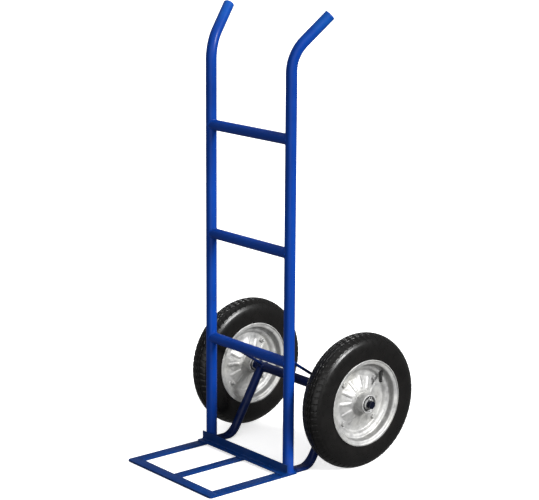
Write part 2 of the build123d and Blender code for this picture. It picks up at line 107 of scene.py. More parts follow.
# The same for the sections of tyre and rim, which are worked out in plain millimetres.
GROOVES_AT = (-12.0, -4.0, 4.0, 12.0)
GROOVE_DEPTH = 3.0
LUG_GAP_DEPTH = 1.7
SIPE_DEPTH = 1.2
RIB_HALF_W = 5.2
PRESSING_FACE = 1.0
PRESSING_BACK = 0.9


# ---------------------------------------------------------------- mesh building
class Shape:
    """Collects vertices and faces of one piece, then turns them into an object."""

    def __init__(self):
        self.verts = []
        self.faces = []

    def grid(self, rings, wrap_rings=False, cap=False):
        """Quads over rings of points; each ring is closed. Rings may also close on themselves."""
        rings = np.asarray(rings, dtype=float)
        n, m = rings.shape[:2]
        base = len(self.verts)
        self.verts.extend(map(tuple, rings.reshape(-1, 3)))
        last = n if wrap_rings else n - 1
        i, j = np.meshgrid(np.arange(last), np.arange(m), indexing="ij")
        a = i * m + j
        b = i * m + (j + 1) % m
        c = (i + 1) % n * m + (j + 1) % m
        d = (i + 1) % n * m + j
        quads = np.stack([a, b, c, d], axis=-1).reshape(-1, 4) + base
        self.faces.extend(map(tuple, quads.tolist()))
        if cap:
            self.faces.append(tuple(range(base + m - 1, base - 1, -1)))
            self.faces.append(tuple(range(base + (n - 1) * m, base + n * m)))
        return self

    def sweep(self, points, radius, seg=24, closed=False, cap=True, normal=None, shape=None):
        """Tube along points. radius is one number or one a point; shape gives an outline of its own."""
        p = np.asarray(points, dtype=float)
        if closed:
            t = np.roll(p, -1, axis=0) - np.roll(p, 1, axis=0)
        else:
            t = np.gradient(p, axis=0)
        t /= np.linalg.norm(t, axis=1)[:, None]
        radii = np.broadcast_to(np.asarray(radius, dtype=float), (len(p),))
        side = np.asarray(normal, dtype=float) if normal is not None else self.any_side(t[0])
        turn = np.arange(seg) * 2 * pi / seg
        rings = []
        for k in range(len(p)):
            side = side - t[k] * side.dot(t[k])
            side /= np.linalg.norm(side)
            other = np.cross(t[k], side)
            if shape is None:
                across, up = radii[k] * np.cos(turn), radii[k] * np.sin(turn)
            else:
                across, up = shape(k, turn)
            rings.append(p[k] + across[:, None] * side + up[:, None] * other)
        return self.grid(rings, wrap_rings=closed, cap=cap and not closed)

    @staticmethod
    def any_side(t):
        pick = np.array([1.0, 0, 0]) if abs(t[0]) < 0.8 else np.array([0, 1.0, 0])
        return np.cross(t, pick)

    def lathe(self, profile, origin, axis, seg=96, closed=False, offset=None, start=None):
        """Turns (along, radius) points about an axis. offset(k, turn) moves each ring along the axis."""
        axis = np.asarray(axis, dtype=float)
        axis /= np.linalg.norm(axis)
        side = np.asarray(start, dtype=float) if start is not None else self.any_side(axis)
        side /= np.linalg.norm(side)
        other = np.cross(axis, side)
        turn = np.arange(seg) * 2 * pi / seg
        ring = np.cos(turn)[:, None] * side + np.sin(turn)[:, None] * other
        rings = []
        for k, (along, radius) in enumerate(profile):
            shift, grow = offset(k, turn) if offset else (0.0, 0.0)
            along_all = np.broadcast_to(along + shift, (seg,))
            radius_all = np.broadcast_to(radius + grow, (seg,))
            points = np.asarray(origin) + along_all[:, None] * axis + radius_all[:, None] * ring
            rings.append(points)
        return self.grid(rings, wrap_rings=closed)

    def weld(self, points, size, closed=False):
        """Weld bead with the overlapping ripples of a hand-run seam."""
        p = resample(points, BEAD_STEP, closed)
        s = np.arange(len(p)) * BEAD_STEP
        ripple = np.abs(np.sin(pi * s / BEAD_RIPPLE_PITCH)) ** 0.6
        wander = np.sin(s * 390 + len(self.verts)) + np.sin(s * 910 + 1.7)
        radius = size * (0.82 + 0.2 * ripple + 0.05 * wander)
        if not closed:
            ends = np.minimum(s, s[-1] - s) / (1.2 * size)
            radius = radius * np.sqrt(np.clip(ends, 0.05, 1.0))
        return self.sweep(p, radius, seg=12, closed=closed)

    def hexagon(self, origin, axis, across_flats, height, bore=0.0):
        """Bolt head or nut with its corners chamfered to a circle."""
        seg = 72
        turn = np.arange(seg) * 2 * pi / seg
        inr = across_flats / 2
        hexed = inr / np.cos((turn + pi / 6) % (pi / 3) - pi / 6)
        round_r = inr * 0.94
        rows = [(0.0, None), (height * 0.82, None), (height, round_r), (height, round_r * 0.8)]
        rows += [(height * 0.97, max(bore, 0.0001))]
        if bore:
            rows += [(0.0, bore)]

        def corners(k, _):
            return (0.0, hexed) if rows[k][1] is None else (0.0, np.full(seg, rows[k][1]))

        return self.lathe([(z, 0.0) for z, _ in rows], origin, axis, seg=seg, offset=corners)

    def make(self, name, body, slot, material, replaces=(), sharp=38):
        """Piece on a body; edges sharper than sharp degrees stay crisp."""
        mesh = bpy.data.meshes.new(name)
        mesh.from_pydata(self.verts, [], self.faces)
        mesh.validate()
        mesh.shade_smooth()
        mesh.set_sharp_from_angle(angle=radians(sharp))
        mesh.materials.append(material)
        piece = bpy.data.objects.new(name, mesh)
        scene.collection.objects.link(piece)
        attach(piece, body)
        if replaces:
            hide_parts(*replaces)
        return piece


def resample(points, step, closed):
    """Evenly spaced points along a polyline."""
    p = np.asarray(points, dtype=float)
    if closed:
        p = np.vstack([p, p[:1]])
    reach = np.concatenate([[0], np.cumsum(np.linalg.norm(np.diff(p, axis=0), axis=1))])
    count = max(4, int(reach[-1] / step))
    at = np.linspace(0, reach[-1], count, endpoint=not closed)
    return np.stack([np.interp(at, reach, p[:, i]) for i in range(3)], axis=1)


def smooth_line(points, per=6):
    """Catmull-Rom curve through 2-D points."""
    p = np.asarray(points, dtype=float)
    ends = np.vstack([2 * p[0] - p[1], p, 2 * p[-1] - p[-2]])
    out = []
    for k in range(len(p) - 1):
        a, b, c, d = ends[k : k + 4]
        for u in np.linspace(0, 1, per, endpoint=False):
            q = 2 * b + (c - a) * u + (2 * a - 5 * b + 4 * c - d) * u**2
            out.append((q + (3 * b - a - 3 * c + d) * u**3) / 2)
    out.append(p[-1])
    return np.array(out)


def rounded(corners, radii, steps=6):
    """Closed 2-D outline with each corner rounded to its own radius."""
    p = np.asarray(corners, dtype=float)
    out = []
    for k, radius in enumerate(radii):
        back = p[k - 1] - p[k]
        ahead = p[(k + 1) % len(p)] - p[k]
        back /= np.linalg.norm(back)
        ahead /= np.linalg.norm(ahead)
        half = np.arccos(back.dot(ahead)) / 2
        middle = p[k] + (back + ahead) / np.linalg.norm(back + ahead) * radius / sin(half)
        first = p[k] + back * radius / tan(half) - middle
        last = p[k] + ahead * radius / tan(half) - middle
        for t in np.linspace(0, 1, steps):
            spoke = first * (1 - t) + last * t
            out.append(middle + spoke / np.linalg.norm(spoke) * radius)
    return np.array(out)


def circle(centre, axis, radius, count=120):
    """Points of a circle about an axis."""
    axis = np.asarray(axis, dtype=float)
    side = Shape.any_side(axis)
    side = side / np.linalg.norm(side)
    other = np.cross(axis, side)
    turn = np.arange(count)[:, None] * 2 * pi / count
    return np.asarray(centre) + radius * (np.cos(turn) * side + np.sin(turn) * other)


# ---------------------------------------------------------------- materials
class Finish:
    """A node material: colour, roughness and bump each from noise at their own scale."""

    def __init__(self, name, metallic=0.0, specular=0.5, coat=0.0, coat_roughness=0.1):
        self.material = bpy.data.materials.new(name)
        self.material.use_nodes = True
        self.tree = self.material.node_tree
        self.shader = self.tree.nodes["Principled BSDF"]
        self.shader.inputs["Metallic"].default_value = metallic
        self.shader.inputs["Specular IOR Level"].default_value = specular
        self.shader.inputs["Coat Weight"].default_value = coat
        self.shader.inputs["Coat Roughness"].default_value = coat_roughness
        self.coords = self.tree.nodes.new("ShaderNodeTexCoord").outputs["Object"]

    def node(self, kind, inputs=(), **settings):
        made = self.tree.nodes.new(kind)
        for key, value in settings.items():
            setattr(made, key, value)
        for key, value in dict(inputs).items():
            if isinstance(value, bpy.types.NodeSocket):
                self.tree.links.new(value, made.inputs[key])
            else:
                made.inputs[key].default_value = value
        return made

    def noise(self, scale, detail=5.0, roughness=0.55, stretch=None):
        where = self.coords
        if stretch:
            where = self.node("ShaderNodeMapping", {"Vector": where, "Scale": stretch}).outputs[0]
        settings = {"Vector": where, "Scale": scale, "Detail": detail, "Roughness": roughness}
        return self.node("ShaderNodeTexNoise", settings).outputs["Fac"]

    def cells(self, scale, feature="F1", output="Distance"):
        made = self.node("ShaderNodeTexVoronoi", {"Vector": self.coords, "Scale": scale}, feature=feature)
        return made.outputs[output]

    def ramp(self, value, stops):
        made = self.node("ShaderNodeValToRGB", {"Fac": value})
        points = made.color_ramp.elements
        while len(points) < len(stops):
            points.new(0.5)
        for point, (at, colour) in zip(points, stops):
            point.position = at
            point.color = (*colour, 1.0)
        return made.outputs["Color"]

    def span(self, value, lo, hi, out_lo, out_hi):
        inputs = {"Value": value, "From Min": lo, "From Max": hi, "To Min": out_lo, "To Max": out_hi}
        return self.node("ShaderNodeMapRange", inputs).outputs["Result"]

    def math(self, operation, a, b):
        return self.node("ShaderNodeMath", {0: a, 1: b}, operation=operation).outputs[0]

    def mix(self, fac, a, b):
        made = self.node("ShaderNodeMix", data_type="RGBA")
        for key, value in ((0, fac), (6, a), (7, b)):
            if isinstance(value, bpy.types.NodeSocket):
                self.tree.links.new(value, made.inputs[key])
            else:
                made.inputs[key].default_value = value if key == 0 else (*value, 1.0)
        return made.outputs[2]

    def height(self):
        return self.node("ShaderNodeSeparateXYZ", {0: self.coords}).outputs["Z"]

    def paint(self, colour, roughness):
        self.tree.links.new(colour, self.shader.inputs["Base Color"])
        self.tree.links.new(roughness, self.shader.inputs["Roughness"])

    def bump(self, value, distance, strength=1.0):
        """Adds a layer of relief on top of the ones already there."""
        made = self.node("ShaderNodeBump", {"Height": value, "Distance": distance, "Strength": strength})
        before = self.shader.inputs["Normal"].links
        if before:
            self.tree.links.new(before[0].from_socket, made.inputs["Normal"])
        self.tree.links.new(made.outputs[0], self.shader.inputs["Normal"])


def powder_coat(name, deep, plain, bright, scuffed, handle_highlight=(0.008, 0.11, 0.40)):
    """Powder coat: slight orange peel, dust towards the lower end, chips, fine scuffs, and a painted
    highlight near the top of the handles.
    """
    f = Finish(name, specular=0.13, coat=0.03, coat_roughness=0.12)
    tone = f.ramp(f.noise(9, 3), [(0.3, deep), (0.55, plain), (0.75, bright)])
    low = f.span(f.height(), 0.0, 0.22, 1.0, 0.0)
    dust = f.math("MULTIPLY", f.span(f.noise(38, 6), 0.5, 0.78, 0.0, 0.22), low)
    tone = f.mix(dust, tone, (0.07, 0.075, 0.09))
    scuff = f.span(f.noise(120, 8, 0.7, (1.0, 1.0, 0.12)), 0.66, 0.74, 0.0, 0.25)
    tone = f.mix(scuff, tone, scuffed)
    patch = f.span(f.noise(14, 4), 0.62, 0.68, 0, 1)
    chips = f.math("MULTIPLY", f.span(f.cells(95), 0.16, 0.10, 0.0, 1.0), patch)
    tone = f.mix(chips, tone, (0.020, 0.020, 0.026))
    rough = f.span(f.noise(55, 6), 0.3, 0.7, 0.28, 0.42)
    # Painted highlight: a lighter blue patch near the top of the handles stands in for a reflection of the
    # light on the handle ends.
    handle_top_band = f.span(f.height(), 1.100, 1.155, 0.0, 1.0)
    handle_highlight_mask = f.math("MULTIPLY", handle_top_band, f.span(f.noise(30, 5), 0.35, 0.6, 0.05, 0.4))
    tone = f.mix(handle_highlight_mask, tone, handle_highlight)
    f.paint(tone, f.math("ADD", rough, f.math("MULTIPLY", dust, 0.9)))
    f.bump(f.noise(700, 2), 0.00010, 0.5)
    f.bump(f.span(chips, 0, 1, 1, 0), 0.00015, 0.6)
    return f.material


def zinc_steel():
    """Bright zinc plating on pressed sheet: mottled, dull in patches, with painted shade in a ring at the
    bead seat.
    """
    f = Finish("bright_zinc", metallic=0.55, specular=0.5)
    tone = f.ramp(
        f.noise(42, 7, 0.62),
        [(0.30, (0.26, 0.26, 0.26)), (0.5, (0.43, 0.43, 0.425)), (0.70, (0.55, 0.55, 0.54))],
    )
    tone = f.mix(f.span(f.noise(16, 4), 0.45, 0.75, 0.0, 0.22), tone, (0.62, 0.60, 0.50))
    spots = f.span(f.cells(260), 0.20, 0.08, 0.0, 0.35)
    tone = f.mix(spots, tone, (0.34, 0.34, 0.34))
    # Painted shade: a dark ring at the bead seat's corner, where the rim's steps meet, stands in for the
    # shade there.
    off_seat = f.math("ABSOLUTE", f.math("SUBTRACT", wheel_distance(f), BEAD_SEAT_R), 0.0)
    patches = f.span(f.noise(30, 4), 0.3, 0.6, 0.5, 1.0)
    seat_shade_mask = f.math("MULTIPLY", f.span(off_seat, 0.0008, 0.0026, 0.55, 0.0), patches)
    tone = f.mix(seat_shade_mask, tone, (0.10, 0.10, 0.10))
    f.paint(tone, f.span(f.noise(85, 6), 0.3, 0.7, 0.46, 0.62))
    f.bump(f.noise(115, 5, 0.65), 0.0015, 0.9)
    f.bump(f.noise(24, 2), 0.0012, 0.35)
    return f.material


def bearing_steel():
    f = Finish("ground_steel", metallic=1.0)
    tone = f.ramp(f.noise(120, 4), [(0.3, (0.42, 0.42, 0.43)), (0.7, (0.60, 0.60, 0.61))])
    f.paint(tone, f.span(f.noise(300, 3), 0.3, 0.7, 0.18, 0.34))
    f.bump(f.noise(900, 2), 0.00005, 0.5)
    return f.material


def wheel_distance(f):
    """Distance from the axle's line, for marks that follow the tyre round."""
    flat = f.node("ShaderNodeMapping", {"Vector": f.coords, "Scale": (0.0, 1.0, 1.0)}).outputs[0]
    away = f.node("ShaderNodeVectorMath", {0: flat, 1: (0.0, AXLE_Y, AXLE_Z)}, operation="DISTANCE")
    return away.outputs["Value"]


def tyre_rubber():
    """Black rubber: flecks of dust, a little bloom on the sidewall, fine mould texture."""
    f = Finish("tyre_rubber", specular=0.27)
    tone = f.ramp(f.noise(22, 6), [(0.3, (0.0032, 0.0031, 0.0030)), (0.7, (0.0060, 0.0057, 0.0055))])
    away = wheel_distance(f)
    patches = f.span(f.noise(60, 5), 0.4, 0.7, 0.0, 0.3)
    bloom = f.math("MULTIPLY", f.span(away, 0.118, 0.150, 1.0, 0.0), patches)
    tone = f.mix(bloom, tone, (0.016, 0.013, 0.012))
    dust = f.span(f.noise(75, 7, 0.65), 0.55, 0.80, 0.0, 0.25)
    tone = f.mix(dust, tone, (0.014, 0.013, 0.013))
    f.paint(tone, f.span(f.noise(90, 5), 0.3, 0.7, 0.25, 0.35))
    f.bump(f.noise(1200, 3), 0.00012, 0.5)
    f.bump(f.noise(160, 3), 0.00020, 0.35)
    return f.material


def black_rubber():
    f = Finish("smooth_black_rubber", specular=0.4)
    tone = f.ramp(f.noise(90, 5), [(0.3, (0.010, 0.010, 0.010)), (0.7, (0.020, 0.020, 0.020))])
    f.paint(tone, f.span(f.noise(140, 4), 0.3, 0.7, 0.38, 0.55))
    f.bump(f.noise(1500, 2), 0.00005, 0.5)
    return f.material


def moulded_plastic(name, dark, light):
    f = Finish(name, specular=0.45)
    tone = f.ramp(f.noise(60, 4), [(0.3, dark), (0.7, light)])
    f.paint(tone, f.span(f.noise(110, 4), 0.3, 0.7, 0.30, 0.45))
    f.bump(f.noise(1800, 2), 0.00005, 0.6)
    return f.material


MATERIALS = {
    "frame_paint": powder_coat(
        "blue_powder_coat",
        deep=(0.0010, 0.030, 0.215),
        plain=(0.0012, 0.036, 0.250),
        bright=(0.0020, 0.042, 0.280),
        scuffed=(0.012, 0.08, 0.36),
    ),
    # Painted shade: a dark navy copy of the frame's blue for the stays, braces, axle sleeve and their
    # welds, which are blue but lie in the wheels' shade.
    "undercarriage_paint": powder_coat(
        "painted_shade_powder_coat",
        deep=(0.0008, 0.005, 0.038),
        plain=(0.0010, 0.008, 0.055),
        bright=(0.0016, 0.012, 0.075),
        scuffed=(0.006, 0.030, 0.13),
    ),
    # Painted shade: a darker copy of the frame's blue for the flat toe bars, the angle and their welds,
    # standing in for the shade they show.
    "toe_paint": powder_coat(
        "painted_shade_toe_coat",
        deep=(0.0010, 0.019, 0.105),
        plain=(0.0012, 0.026, 0.135),
        bright=(0.0020, 0.034, 0.165),
        scuffed=(0.012, 0.07, 0.24),
    ),
    # Painted shade: a near-black copy of the frame's blue for the axle, whose ends sit in the shade of the
    # hub recesses.
    "axle_paint": powder_coat(
        "painted_shade_axle_paint",
        deep=(0.0012, 0.002, 0.007),
        plain=(0.0016, 0.003, 0.012),
        bright=(0.0024, 0.005, 0.020),
        scuffed=(0.012, 0.014, 0.020),
    ),
    "zinc_steel": zinc_steel(),
    "bearing_steel": bearing_steel(),
    "tyre_rubber": tyre_rubber(),
    "black_rubber": black_rubber(),
    "cap_plastic": moulded_plastic("black_plastic", (0.010, 0.010, 0.010), (0.018, 0.018, 0.018)),
    "plug_plastic": moulded_plastic("blue_plastic", (0.005, 0.055, 0.300), (0.007, 0.070, 0.360)),
}

for entry in frame["record"]["subparts"]:
    mesh = frame["nodes"][entry["node"]].data
    for index in range(max(1, len(mesh.materials))):
        if index < len(mesh.materials):
            mesh.materials[index] = MATERIALS[entry["material_slot"]]
        else:
            mesh.materials.append(MATERIALS[entry["material_slot"]])


# ---------------------------------------------------------------- frame tubes
def handle_line(side):
    """Centre line of an upright and its handle.

    Also gives how far round the bend each point is, the handle's direction and the way it leans.
    """
    lean = Vector((side * sin(HANDLE_SPLAY), cos(HANDLE_SPLAY), 0))
    foot = Vector((side * UPRIGHT_X, UPRIGHT_Y, UPRIGHT_LO.z))
    start = Vector((foot.x, foot.y, HANDLE_BEND_Z))
    centre = start + lean * HANDLE_BEND_R
    points = [foot.lerp(start, t) for t in np.linspace(0, 1, 30)]
    bend = [0.0] * len(points)
    for part in np.linspace(0, 1, BEND_STATIONS)[1:]:
        turn = HANDLE_LEAN * part
        rise = Vector((0, 0, HANDLE_BEND_R * sin(turn)))
        points.append(centre - lean * (HANDLE_BEND_R * cos(turn)) + rise)
        bend.append(part)
    along = lean * sin(HANDLE_LEAN) + Vector((0, 0, cos(HANDLE_LEAN)))
    last = points[-1]
    for t in np.linspace(0, HANDLE_LENGTH, 8)[1:]:
        points.append(last + along * t)
        bend.append(1.0)
    return points, bend, along, lean


def make_uprights():
    paint = MATERIALS["frame_paint"]
    for name, side in SIDES.items():
        points, bend, along, lean = handle_line(side)

        def bent(k, turn):
            """The bend flattens the tube a little and leaves shallow wrinkles on its inner side."""
            swell = sin(pi * bend[k])
            entry = np.clip(bend[k] * 6, 0, 1) * np.clip((0.55 - bend[k]) * 4, 0, 1)
            inner = np.clip(np.cos(turn), 0, 1) ** 3
            wrinkle = WRINKLE_DEPTH * entry * inner * (sin(2 * pi * bend[k] * WRINKLES) - 0.4)
            flat = TUBE_R - BEND_FLATTENING * swell + wrinkle
            return flat * np.cos(turn), (TUBE_R - 0.05 * MM * swell + wrinkle) * np.sin(turn)

        tube = Shape().sweep(points, TUBE_R, seg=72, normal=lean, shape=bent)
        tube.make(f"upright_tube_{name}", "frame", "frame_paint", paint, [f"upright_{name}"])
        plug = [(-2.0, 12.0), (-0.2, 14.25), (1.6, 14.3), (2.4, 13.9), (3.0, 12.6), (3.0, 10.4), (2.6, 9.6)]
        plug += [(2.5, 5.0), (2.5, 0.02)]
        profile = [(a * MM, r * MM) for a, r in smooth_line(plug, 3)]
        end = Shape().lathe(profile, points[-1], along, seg=72)
        plastic = MATERIALS["plug_plastic"]
        end.make(f"plug_{name}", "frame", "plug_plastic", plastic, [f"handle_plug_{name}"])


def make_crossbars():
    paint = MATERIALS["frame_paint"]
    for which in CROSSBARS:
        lo, hi = (Vector(v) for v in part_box(f"crossbar_{which}"))
        height = (lo.z + hi.z) / 2
        radius = (hi.z - lo.z) / 2
        reach = UPRIGHT_X - 0.3 * TUBE_R
        points = [(x, UPRIGHT_Y, height) for x in np.linspace(-reach, reach, 40)]
        bar = Shape().sweep(points, radius, seg=64, normal=(0, 0, 1))
        bar.make(f"crossbar_tube_{which}", "frame", "frame_paint", paint, [f"crossbar_{which}"])


def flat_bar(lo, hi, front_corner):
    """Rolled flat bar lying on the floor, with eased edges and its two front corners rounded."""
    bar = Shape()
    rings = []
    rows = [(0.9, 0.0), (0.25, 0.25), (0.0, 0.9), (0.0, -0.9), (0.25, -0.25), (0.9, 0.0)]
    for k, (inset, rise) in enumerate(rows):
        d = inset * MM
        z = (lo.z if k < 3 else hi.z) + rise * MM
        corners = [(lo.x + d, lo.y + d), (hi.x - d, lo.y + d), (hi.x - d, hi.y - d), (lo.x + d, hi.y - d)]
        front, back = front_corner - d, BAR_EDGE_R - d
        line = rounded(corners, [front, front, back, back], 9)
        rings.append([(x, y, z) for x, y in line])
    return bar.grid(rings, cap=True)


def make_toe_frame():
    # The toe bars and the angle take the painted-shade copy of the frame's blue.
    for node in ("toe_front_bar", "toe_middle_bar", "toe_side_bar_left", "toe_side_bar_right"):
        lo, hi = (Vector(v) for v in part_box(node))
        corner = TOE_CORNER_R if node == "toe_front_bar" else BAR_EDGE_R
        bar = flat_bar(lo, hi, corner)
        bar.make(f"rolled_{node}", "frame", "frame_paint", MATERIALS["toe_paint"], [node], 30)
    lo, hi = ANGLE_LO, ANGLE_HI
    shelf_z, leg_y = lo.z + ANGLE_T, hi.y - ANGLE_T
    corners = [(hi.y, lo.z), (lo.y, lo.z), (lo.y, shelf_z), (leg_y, shelf_z), (leg_y, hi.z), (hi.y, hi.z)]
    line = rounded(corners, [1.2 * MM, 0.6 * MM, 1.4 * MM, 3.0 * MM, 1.4 * MM, 0.6 * MM], 8)
    inner = np.linspace(lo.x + 2 * MM, hi.x - 2 * MM, 30)
    xs = [lo.x, lo.x + 0.3 * MM, *inner, hi.x - 0.3 * MM, hi.x]
    angle = Shape().grid([[(x, y, z) for y, z in line] for x in xs], cap=True)
    angle.make("rolled_angle_bar", "frame", "frame_paint", MATERIALS["toe_paint"], ["toe_angle_bar"], 30)


def stay_line():
    """Stations of a stay: (y, z, half width, half thickness, squareness)."""
    half_t, half_w = STAY_FOOT_T / 2, STAY_FOOT_W / 2
    end_z = STAY_BEND_R * (1 - cos(STAY_SLOPE)) + STAY_R * cos(STAY_SLOPE)
    end_y = AXLE_Y - STAY_AHEAD - (AXLE_Z - end_z) / tan(STAY_SLOPE)
    bend_y = end_y - (STAY_BEND_R - STAY_R) * sin(STAY_SLOPE)
    stations = [(y, half_t, half_w, half_t, 3.6) for y in np.linspace(BAR_HI.y, bend_y, 8)[:-1]]
    for part in np.linspace(0, 1, 22):
        turn = STAY_SLOPE * part
        blend = part * part * (3 - 2 * part)
        t = half_t + (STAY_R - half_t) * blend
        w = half_w + (STAY_R - half_w) * blend
        y = bend_y + (STAY_BEND_R - t) * sin(turn)
        z = STAY_BEND_R - (STAY_BEND_R - t) * cos(turn)
        stations.append((y, z, w, t, 3.6 - 1.6 * blend))
    run = (AXLE_Z - end_z) / sin(STAY_SLOPE) - STAY_AHEAD
    for t in np.linspace(0, run, 14)[1:]:
        stations.append((end_y + t * cos(STAY_SLOPE), end_z + t * sin(STAY_SLOPE), STAY_R, STAY_R, 2.0))
    return stations


def make_stays():
    stations = stay_line()

    def outline(k, turn):
        _, _, w, t, power = stations[k]
        c, s = np.cos(turn), np.sin(turn)
        squash = 2.0 / power
        return w * np.sign(c) * np.abs(c) ** squash, t * np.sign(s) * np.abs(s) ** squash

    # The stays and braces take the painted-shade copy of the frame's blue.
    paint = MATERIALS["undercarriage_paint"]
    for name, side in SIDES.items():
        points = [(side * UPRIGHT_X, y, z) for y, z, _, _, _ in stations]
        stay = Shape().sweep(points, STAY_R, seg=64, normal=(1, 0, 0), shape=outline)
        stay.make(f"stay_tube_{name}", "frame", "frame_paint", paint, [f"stay_{name}"])
        lo, hi = (Vector(v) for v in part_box(f"brace_rod_{name}"))
        radius = (hi.x - lo.x) / 2
        top = Vector((side * UPRIGHT_X, UPRIGHT_Y + TUBE_R * 0.7, hi.z - radius * 0.9))
        low = Vector((side * UPRIGHT_X, AXLE_Y - AXLE_TUBE_R * 0.45, AXLE_Z + AXLE_TUBE_R * 0.72))
        rod = Shape().sweep([top.lerp(low, t) for t in np.linspace(0, 1, 24)], radius, seg=32)
        rod.make(f"brace_{name}", "frame", "frame_paint", paint, [f"brace_rod_{name}"])


def make_axle():
    half = AXLE_HI.x
    profile = [(-half, 0.0001), (-half, AXLE_R - 1.5 * MM), (1.4 * MM - half, AXLE_R)]
    profile += [(x, AXLE_R) for x in np.linspace(-half + 2 * MM, half - 2 * MM, 60)]
    profile += [(half - 1.4 * MM, AXLE_R), (half, AXLE_R - 1.5 * MM), (half, 0.0001)]
    bar = Shape().lathe(profile, (0, AXLE_Y, AXLE_Z), (1, 0, 0), seg=64)
    # The axle takes the near-black painted-shade copy of the frame's blue.
    bar.make("axle_bar", "frame", "frame_paint", MATERIALS["axle_paint"], ["axle"])
    half = AXLE_TUBE_HI.x
    profile = [(-half, AXLE_R), (-half, AXLE_TUBE_R - 0.6 * MM), (0.6 * MM - half, AXLE_TUBE_R)]
    profile += [(x, AXLE_TUBE_R) for x in np.linspace(-half + 1 * MM, half - 1 * MM, 60)]
    profile += [(half - 0.6 * MM, AXLE_TUBE_R), (half, AXLE_TUBE_R - 0.6 * MM), (half, AXLE_R)]
    tube = Shape().lathe(profile, (0, AXLE_Y, AXLE_Z), (1, 0, 0), seg=72, closed=True)
    # The axle sleeve takes the painted-shade copy of the frame's blue.
    tube.make("axle_sleeve", "frame", "frame_paint", MATERIALS["undercarriage_paint"], ["axle_tube"])
    for name in SIDES:
        lo, hi = (Vector(v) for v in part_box(f"split_pin_{name}"))
        x = (lo.x + hi.x) / 2
        wire = 1.0 * MM
        eye_r = 3.4 * MM
        eye_z = AXLE_Z + AXLE_R + 2 * MM + eye_r
        pin = Shape()
        for way in (-1, 1):
            turn = np.linspace(0, pi, 20)
            points = [(x, AXLE_Y + way * (wire + eye_r * sin(a)), eye_z + eye_r * cos(a)) for a in turn]
            legs = np.linspace(eye_z - 1.25 * eye_r, AXLE_Z - AXLE_R, 12)
            points += [(x, AXLE_Y + way * wire, z) for z in legs]
            bend = AXLE_Z - AXLE_R - 1.5 * MM
            points += [(x, AXLE_Y + way * (wire + 0.2 * MM), bend + 0.5 * MM)]
            for t in np.linspace(0.15, 1, 8):
                drop = 7.5 * MM * t
                points += [(x, AXLE_Y + way * (wire + 6.0 * MM * t**0.85), bend - drop * 0.8)]
            pin.sweep(points, wire, seg=14)
        zinc = MATERIALS["zinc_steel"]
        pin.make(f"split_pin_wire_{name}", "frame", "zinc_steel", zinc, [f"split_pin_{name}"])


# ---------------------------------------------------------------- welds
def saddle(side, height, radius):
    """Line where a crossbar of this radius meets an upright."""
    turn = np.arange(140) * 2 * pi / 140
    y = radius * np.cos(turn)
    x = UPRIGHT_X - np.sqrt(TUBE_R**2 - y**2)
    return np.stack([side * x, UPRIGHT_Y + y, height + radius * np.sin(turn)], axis=1)


def make_welds():
    frame_beads, toe_beads, axle_beads = Shape(), Shape(), Shape()
    bar_top = BAR_HI.z
    for which in CROSSBARS:
        lo, hi = (Vector(v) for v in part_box(f"crossbar_{which}"))
        for side in SIDES.values():
            line = saddle(side, (lo.z + hi.z) / 2, (hi.z - lo.z) / 2 - 0.2 * MM)
            frame_beads.weld(line, 2.1 * MM, closed=True)
    bars = []
    for name, side in SIDES.items():
        x = side * UPRIGHT_X
        line = circle((x, UPRIGHT_Y, bar_top), (0, 0, 1), TUBE_R + 0.4 * MM)
        frame_beads.weld(line, 2.2 * MM, closed=True)
        for step in (-6.5, 6.5):
            base = (x + step * MM, ANGLE_HI.y + 1.2 * MM)
            toe_beads.weld([(*base, ANGLE_LO.z + 2 * MM), (*base, ANGLE_HI.z - 1 * MM)], 2.2 * MM)
        foot = (x - STAY_FOOT_W * 0.44, x + STAY_FOOT_W * 0.40)
        toe_beads.weld([(edge, BAR_HI.y - 0.6 * MM, bar_top + 1.6 * MM) for edge in foot], 2.4 * MM)
        bars.append(f"toe_side_bar_{name}")
        for edge in (x - STAY_R, x + STAY_R):
            line = circle((edge, AXLE_Y, AXLE_Z), (1, 0, 0), AXLE_TUBE_R + 0.2 * MM)
            axle_beads.weld(line, 1.8 * MM, closed=True)
        lo, hi = (Vector(v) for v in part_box(f"brace_rod_{name}"))
        slope = Vector((0, AXLE_Y - UPRIGHT_Y, lo.z - hi.z)).normalized()
        top = Vector((x, UPRIGHT_Y + TUBE_R + 0.3 * MM, hi.z - 5.2 * MM))
        frame_beads.weld(circle(top, (0, 1, 0), 4.3 * MM, 60), 1.5 * MM, closed=True)
        low = Vector((x, AXLE_Y - AXLE_TUBE_R * 0.62, AXLE_Z + AXLE_TUBE_R * 0.88))
        axle_beads.weld(circle(low, slope, 4.3 * MM, 60), 1.5 * MM, closed=True)
    for bar in bars + ["toe_middle_bar"]:
        lo, hi = (Vector(v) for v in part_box(bar))
        edges = (lo.x + 2.5 * MM, hi.x - 2.5 * MM)
        toe_beads.weld([(edge, ANGLE_LO.y, bar_top + 0.8 * MM) for edge in edges], 1.9 * MM)
        toe_beads.weld([(edge, FRONT_HI.y, bar_top - 0.5 * MM) for edge in edges], 1.3 * MM)
    frame_beads.make("frame_welds", "frame", "frame_paint", MATERIALS["frame_paint"], sharp=80)
    # The toe welds take the painted-shade copy of the frame's blue.
    toe_beads.make("toe_welds", "frame", "frame_paint", MATERIALS["toe_paint"], sharp=80)
    # The axle welds take the painted-shade copy of the frame's blue.
    axle_beads.make("axle_welds", "frame", "frame_paint", MATERIALS["undercarriage_paint"], sharp=80)


# ---------------------------------------------------------------- tyres
CROWN = [(28.2, 162.5), (26.5, 166.2), (22.0, 170.4), (15.0, 174.6), (7.5, 177.2), (0.0, 178.0)]


